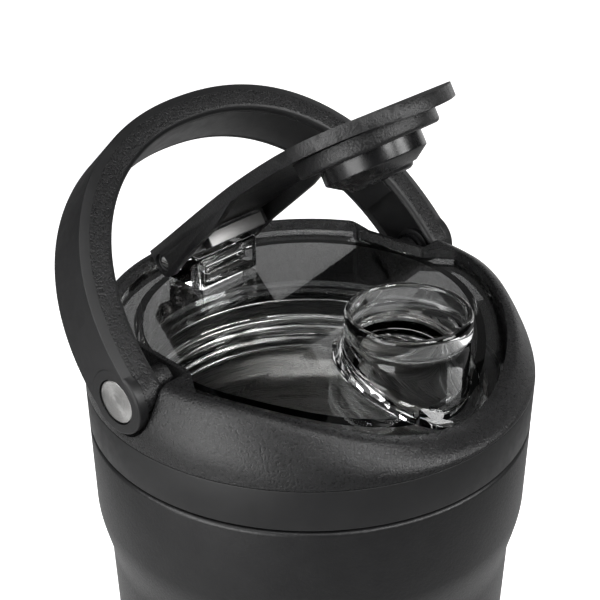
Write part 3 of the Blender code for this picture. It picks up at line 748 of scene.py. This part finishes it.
def make_grip():
    """Slightly crowned strip with a small moulded ring in it at the top of the arch."""
    strip = [(1.5, -7.5), (0.2, -7.5)]
    for i in range(17):
        across = -7.4 + 13.9 * i / 16
        strip.append((0.05 - 0.3 * (1 - ((across + 0.45) / 6.95) ** 2), across))
    strip += [(0.2, 6.6), (1.5, 6.6)]
    grip = bow_loft("grip", strip, 0.085, 0.915, 140, (SATIN,))
    up, face = bow_place()
    turned = Matrix((Vector((1, 0, 0)), face, up)).transposed().to_4x4()
    dimple = lathe("dimple", mm((0, -3), (3, -3), (3, 0.35), (2.6, 0.5), (0.6, 0.5), (0.5, -0.1),
                                (0, -0.15)), SATIN, steps=48)
    dimple.data.transform(Matrix.Translation(PIVOT + up * 60.1 * MM) @ turned)
    cut(grip, dimple)
    soften(grip, 28)
    put(grip, "handle", "satin_black", "handle_grip")


# ---------------------------------------------------------------- cap
def arm_height(y):
    """Top of the closed cap: a low curve over its length that drops more at the tip."""
    u = (y - SPOUT_Y) / (50 * MM)
    tip = max(0.0, -0.3 - u)
    droop = 0.9 * min(1, max(0, (0.6 - u) / 1.1))
    return SEAM_Z + (50.72 - droop - 1.88 * u - 4.58 * u * u + 1.29 * u ** 3 - 18 * tip * tip) * MM


def arm_plan(inset):
    """Round head over the spout with sides that lean together towards the hinge."""
    radius = (25 - inset) * MM
    half = (17 - inset) * MM
    back = HINGE.y + 6 * MM
    lean = math.degrees(math.atan2(8.8 * MM, back - SPOUT_Y))
    head = arc((0, SPOUT_Y), radius, 180 - lean, 360 + lean, 96)
    return head + [(half, back), (-half, back)]


def arm_curve(front, back, count, under=0.0):
    ys = [front + (back - front) * i / count for i in range(count + 1)]
    return [(y, arm_height(y) - under) for y in ys]


def make_arm():
    top = arm_curve(SPOUT_Y - 28 * MM, HINGE.y + 3.4 * MM, 40)
    arm = crosswise("arm", [(y, z - 3.5 * MM) for y, z in top] + top[::-1], 30, GRAIN_FINE)
    keep(arm, layer("plan", arm_plan(0), 20, 60))
    cut(arm, crosswise("between", over_seam((36.6, 20), (60, 20), (60, 60), (36.6, 60)), EAR_GAP))

    ear = arc((HINGE.y - 0.8 * MM, HINGE.z - 0.1 * MM), 4.4 * MM, 70, -100, 24)
    outline = arm_curve(-12 * MM, HINGE.y, 24, 0.9 * MM) + ear + over_seam((30, 35.4), (10, 39.8))
    sides = crosswise("sides", outline, 30)
    keep(sides, layer("plan", arm_plan(0.06), 20, 60))
    cut(sides, layer("hollow", arm_plan(2.6), 19, 61))
    add(arm, sides)

    cut(arm, layer("seat", arc((0, SPOUT_Y), 19.6 * MM, 0, 357, 119), 39, HEAD_UNDER))
    add(arm, crosswise("rib", over_seam((29.4, 35.6), (31, 35.6), (31, 40.5), (29.4, 41)), 15.4))
    cut(arm, crosswise("room", arc(HINGE.yz, 5.3 * MM, 0, 355, 71), EAR_GAP))
    cut(arm, crosswise("ear_bore", arc(HINGE.yz, HINGE_BORE_R, 0, 345, 23), 20))
    for side in (-1, 1):
        cut(arm, sided("well", arc(HINGE.yz, 2.9 * MM, 0, 350, 35), side, 16.2, 19))
    bevel_edges(arm, 0.4 * MM, 2, 40)
    soften(arm, 30)
    return arm


def make_cap():
    """The cap is shaped closed, in the lid's frame, and then swung open about its pin."""
    arm = make_arm()
    under = SEAM_Z + (HEAD_UNDER - 0.3) * MM
    seat = SPOUT_TOP + 0.35 * MM
    carrier = filleted([(0, under, 0), (19.2 * MM, under, 0.4 * MM), (19.2 * MM, seat, 1.1 * MM),
                        (14.3 * MM, seat, 0.4 * MM), (14.3 * MM, seat + 3 * MM, 0),
                        (0, seat + 3 * MM, 0)], 5)
    carrier = lathe("carrier", carrier, GRAIN_FINE, centre=(0, SPOUT_Y, 0))
    tip = seat - 7.9 * MM
    plug = [(0, 10.5, 0), (13.9, 10.5, 0), (13.9, 4, 0.5), (9.9, 1.3, 0.3), (9.6, 1.6, 0.2),
            (9, 1.2, 0.2), (8.7, 0.5, 0.3), (7.8, 0, 0.5), (0, 0, 0)]
    plug = filleted([(r * MM, tip + rise * MM, rounding * MM) for r, rise, rounding in plug], 4)
    plug = lathe("plug", plug, GLOSS, centre=(0, SPOUT_Y, 0))
    bar = filleted([(25.7, 35, 0.3), (29, 35, 0.3), (29, 39.2, 0.3), (25.7, 39.2, 0.3)], 3)
    bar = crosswise("stop_bar", over_seam(*bar), 11.1, BAR_STEEL, bevel=0.5 * MM)
    pin = mm(*filleted([(0, -16.4, 0), (1.8, -16.4, 0.4), (1.8, 16.4, 0.4), (0, 16.4, 0)], 3))
    pin = lathe("pin", pin, STEEL, centre=tuple(HINGE), axis="X", steps=48)

    opened = Matrix.Translation(HINGE) @ Matrix.Rotation(-CAP_OPEN, 4, "X")
    opened = opened @ Matrix.Translation(-HINGE)
    pieces = ((arm, "cap_arm", "textured_black"), (carrier, "stopper_carrier", "textured_black"),
              (plug, "stopper_plug", "gloss_black"), (bar, "detent_plate", "brushed_steel"),
              (pin, "hinge_pin", "steel"))
    for obj, node, slot in pieces:
        obj.data.transform(opened)
        put(obj, "cap", slot, node)


# ---------------------------------------------------------------- stage
def make_camera():
    turn, lift, away = math.radians(-48.24), math.radians(32.22), 373.43 * MM
    back = Vector((math.sin(turn) * math.cos(lift), -math.cos(turn) * math.cos(lift),
                   math.sin(lift)))
    camera = bpy.data.objects.new("camera", bpy.data.cameras.new("camera"))
    bpy.context.scene.collection.objects.link(camera)
    bpy.context.scene.camera = camera
    camera.data.sensor_width = 36
    camera.data.lens = 75.3
    camera.data.shift_x = -0.01703
    camera.data.shift_y = 0.16118
    camera.data.clip_start = 0.01
    camera.location = Vector((0, 0, SEAM_Z)) + back * away
    camera.rotation_mode = "QUATERNION"
    camera.rotation_quaternion = (-back).to_track_quat("-Z", "Y")


def lamp(name, bearing, lift, size, power):
    """A square soft light at a bearing from the spout side and a lift above level, in degrees."""
    bearing, lift = math.radians(bearing), math.radians(lift)
    away = Vector((math.cos(lift) * math.sin(bearing), -math.cos(lift) * math.cos(bearing),
                   math.sin(lift))) * LAMP_AWAY
    data = bpy.data.lights.new(name, "AREA")
    data.shape = "SQUARE"
    data.size = size
    data.energy = power
    light = bpy.data.objects.new(name, data)
    bpy.context.scene.collection.objects.link(light)
    light.location = LAMP_AIM + away
    light.rotation_mode = "QUATERNION"
    light.rotation_quaternion = (-away).to_track_quat("-Z", "Y")


def floor_disc(name, centre, radius, top, glow):
    disc = prism(name, arc(centre, radius, 0, 355, 71), top - 0.002, top, axis="Z")
    look = Look(name, Roughness=0.8, Specular_IOR_Level=0.2)
    look.tint(look.noise(3, 2), 0.3, 0.7, (0.88, 0.88, 0.88), (0.9, 0.9, 0.9))
    look.set("Emission Color", (1.0, 1.0, 1.0))
    look.set("Emission Strength", glow)
    disc.data.materials.append(look.mat)
    return disc


def make_stage():
    """A white floor and backdrop for the camera. The object mirrors two other discs instead: a
    dim one under the floor, and a brighter one round its foot."""
    floor = floor_disc("floor", (0, 0), 3, 0, 0.9)
    wall = lathe("backdrop", [(2.9, 0), (2.95, 0), (2.95, 2.5), (2.9, 2.5)],
                 floor.data.materials[0], steps=72)
    for part in (floor, wall):
        part.visible_glossy = False
        part.visible_diffuse = False
    floor_disc("floor_far", (0, 0), 3, -0.004, 0.1).visible_camera = False
    floor_disc("floor_near", (0.09, 0.08), 0.3, -0.0035, 0.5).visible_camera = False

    world = bpy.data.worlds.new("studio")
    bpy.context.scene.world = world
    world.use_nodes = True
    background = world.node_tree.nodes["Background"]
    background.inputs["Color"].default_value = (1, 1, 1, 1)
    background.inputs["Strength"].default_value = 0.03

    lamp("left", 272, 5, 0.7, 9)
    lamp("left_back", 247, 25, 0.5, 4)
    lamp("front", 350, 38, 0.3, 4)
    lamp("front_right", 22, 25, 0.4, 5)
    lamp("right", 100, 5, 0.7, 1.5)
    lamp("high", 292, 68, 0.7, 5)
    lamp("back", 125, 35, 1.6, 1)
    bpy.context.scene.view_settings.view_transform = "Standard"


make_camera()
make_stage()
make_bottle()
make_collar()
make_clear_lid()
make_handle()
make_cap()
